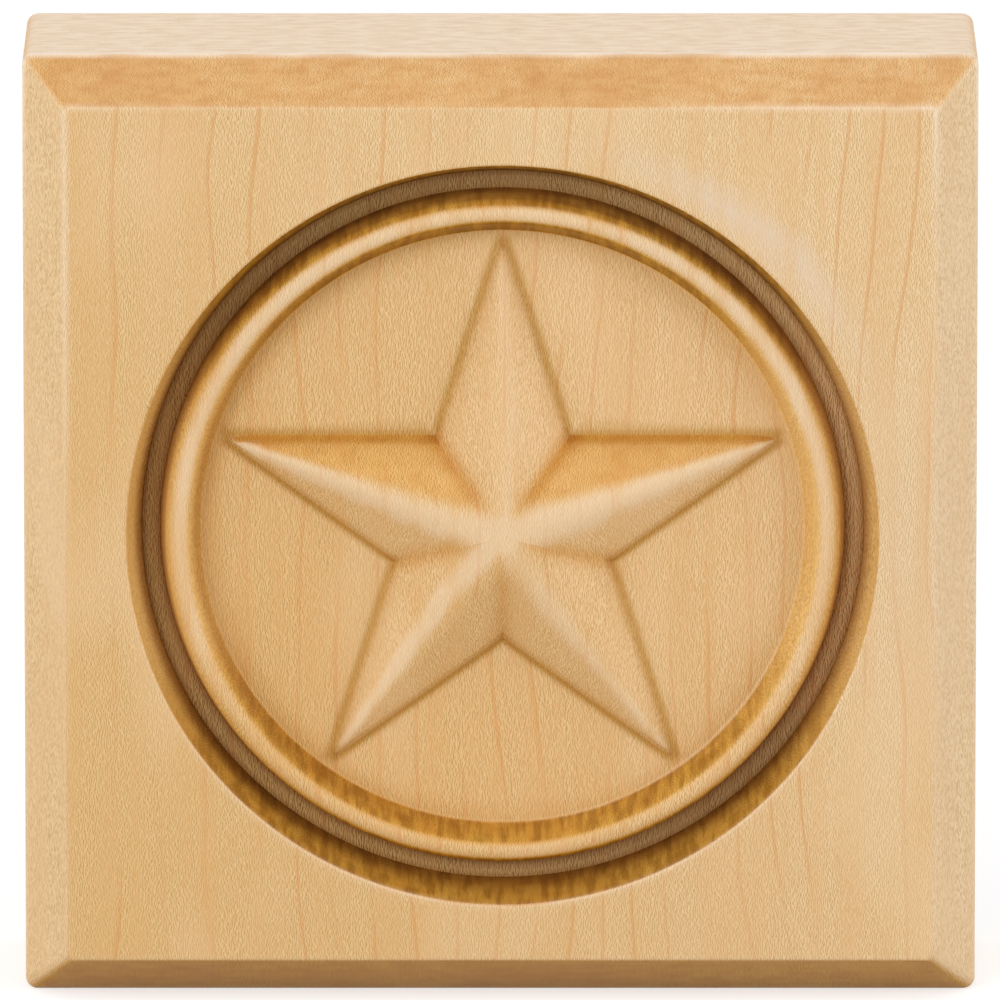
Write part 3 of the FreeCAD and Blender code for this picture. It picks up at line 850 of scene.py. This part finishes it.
def maple():
    """Hard maple, planed, routed and sanded, with no stain.

    It is a pale, close-grained wood: short fine flecks along the grain, soft brown growth lines some
    millimetres apart, and a low sheen. Faces cut across the grain drink in more light and look deeper
    and more golden. Painted shade darkens the groove, its creases, the turned flanks, the star's foot and
    valleys and the faces that look down, and painted highlight and sheen lighten the edges, the side
    bevels, the top and bottom faces, the bead's crest and the star's ridges, which were also sanded paler.
    """
    material = bpy.data.materials.new("hard_maple")
    material.use_nodes = True
    tree = material.node_tree
    shader = tree.nodes["Principled BSDF"]
    marks = maple_marks(tree)
    colour = linear(MAPLE)
    for name, strength, tint, way in TINTS:
        share = add(tree, "ShaderNodeMath", {0: marks[name], 1: strength}, operation="MULTIPLY")
        layers = {0: share, 6: colour, 7: linear(tint)}
        colour = add(tree, "ShaderNodeMix", layers, data_type="RGBA", blend_type=way)
    limits = {"Value": marks["grain"], "To Min": ROUGHNESS[0], "To Max": ROUGHNESS[1]}
    rough = add(tree, "ShaderNodeMapRange", limits)
    ticks = {"Strength": GRAIN_BUMP, "Distance": GRAIN_DEPTH * MM, "Height": marks["grain"]}
    grain = add(tree, "ShaderNodeBump", ticks, invert=True)
    shader.inputs["Specular IOR Level"].default_value = SPECULAR_LEVEL
    tree.links.new(colour.outputs[2], shader.inputs["Base Color"])
    tree.links.new(rough.outputs[0], shader.inputs["Roughness"])
    tree.links.new(grain.outputs[0], shader.inputs["Normal"])
    return material


def seen_rays(tree):
    """1 for what the camera sees, straight or through gloss or glass, and 0 for what only gives light."""
    path = add(tree, "ShaderNodeLightPath", {}).outputs
    seen = path["Is Camera Ray"]
    for other in ("Is Glossy Ray", "Is Transmission Ray"):
        seen = add(tree, "ShaderNodeMath", {0: seen, 1: path[other]}, operation="MAXIMUM")
    return seen


def lay_floor():
    """A large pale floor under the block, white to the eye, that keeps the block's shadow."""
    level = -HALF_SIDE * MM
    mesh = bpy.data.meshes.new("floor")
    corners = [(x * FLOOR_HALF, y * FLOOR_HALF, level) for x, y in ((-1, -1), (1, -1), (1, 1), (-1, 1))]
    mesh.from_pydata(corners, [], [(0, 1, 2, 3)])
    floor = bpy.data.objects.new("floor", mesh)
    bpy.context.scene.collection.objects.link(floor)
    material = bpy.data.materials.new("matt_card")
    material.use_nodes = True
    tree = material.node_tree
    tree.nodes.clear()
    seen = seen_rays(tree)
    colours = {0: seen, 6: linear(FLOOR_CARD), 7: linear(FLOOR_CARD_SEEN)}
    card = add(tree, "ShaderNodeMix", colours, data_type="RGBA")
    strength = add(tree, "ShaderNodeMath", {0: seen, 1: FLOOR_GLOW_SEEN}, operation="MULTIPLY")
    matt = add(tree, "ShaderNodeBsdfDiffuse", {"Color": card})
    glow = add(tree, "ShaderNodeEmission", {"Color": linear(WHITE), "Strength": strength})
    both = add(tree, "ShaderNodeAddShader", {0: matt, 1: glow})
    add(tree, "ShaderNodeOutputMaterial", {"Surface": both})
    mesh.materials.append(material)


def light_studio():
    """Soft white surroundings, a large soft lamp up in front to the left, and another at each side."""
    world = bpy.data.worlds.new("studio")
    bpy.context.scene.world = world
    world.use_nodes = True
    tree = world.node_tree
    tree.nodes.clear()
    seen = seen_rays(tree)
    soft = add(tree, "ShaderNodeBackground", {"Color": linear(WHITE), "Strength": WORLD_LIGHT})
    white = add(tree, "ShaderNodeBackground", {"Color": linear(WHITE), "Strength": WORLD_LIGHT_SEEN})
    both = add(tree, "ShaderNodeMixShader", {0: seen, 1: soft, 2: white})
    add(tree, "ShaderNodeOutputWorld", {"Surface": both})

    for name, place, size, power in LAMPS:
        lamp_data = bpy.data.lights.new(name, "AREA")
        lamp_data.shape = "DISK"
        lamp_data.size = size
        lamp_data.energy = power
        lamp = bpy.data.objects.new(name, lamp_data)
        lamp.location = place
        lamp.rotation_euler = (-lamp.location).to_track_quat("-Z", "Y").to_euler()
        bpy.context.scene.collection.objects.link(lamp)


def set_camera():
    """The photograph's view: from far off, a little above, square to the front."""
    camera_data = bpy.data.cameras.new("camera")
    camera_data.sensor_width = SENSOR_WIDTH
    camera_data.lens = SENSOR_WIDTH * PIXELS_PER_MM * VIEW_DISTANCE / MM / IMAGE_SIDE
    camera_data.clip_end = FAR_CLIP
    camera = bpy.data.objects.new("camera", camera_data)
    away = Vector((0, -math.cos(VIEW_ELEVATION), math.sin(VIEW_ELEVATION)))
    camera.location = VIEW_AIM + VIEW_DISTANCE * away
    camera.rotation_euler = (VIEW_AIM - camera.location).to_track_quat("-Z", "Y").to_euler()
    bpy.context.scene.collection.objects.link(camera)
    bpy.context.scene.camera = camera


block = make_block()
block.data.materials.append(maple())
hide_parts("rosette_block")
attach(block, "root")

lay_floor()
light_studio()
set_camera()
bpy.context.scene.view_settings.view_transform = "Standard"
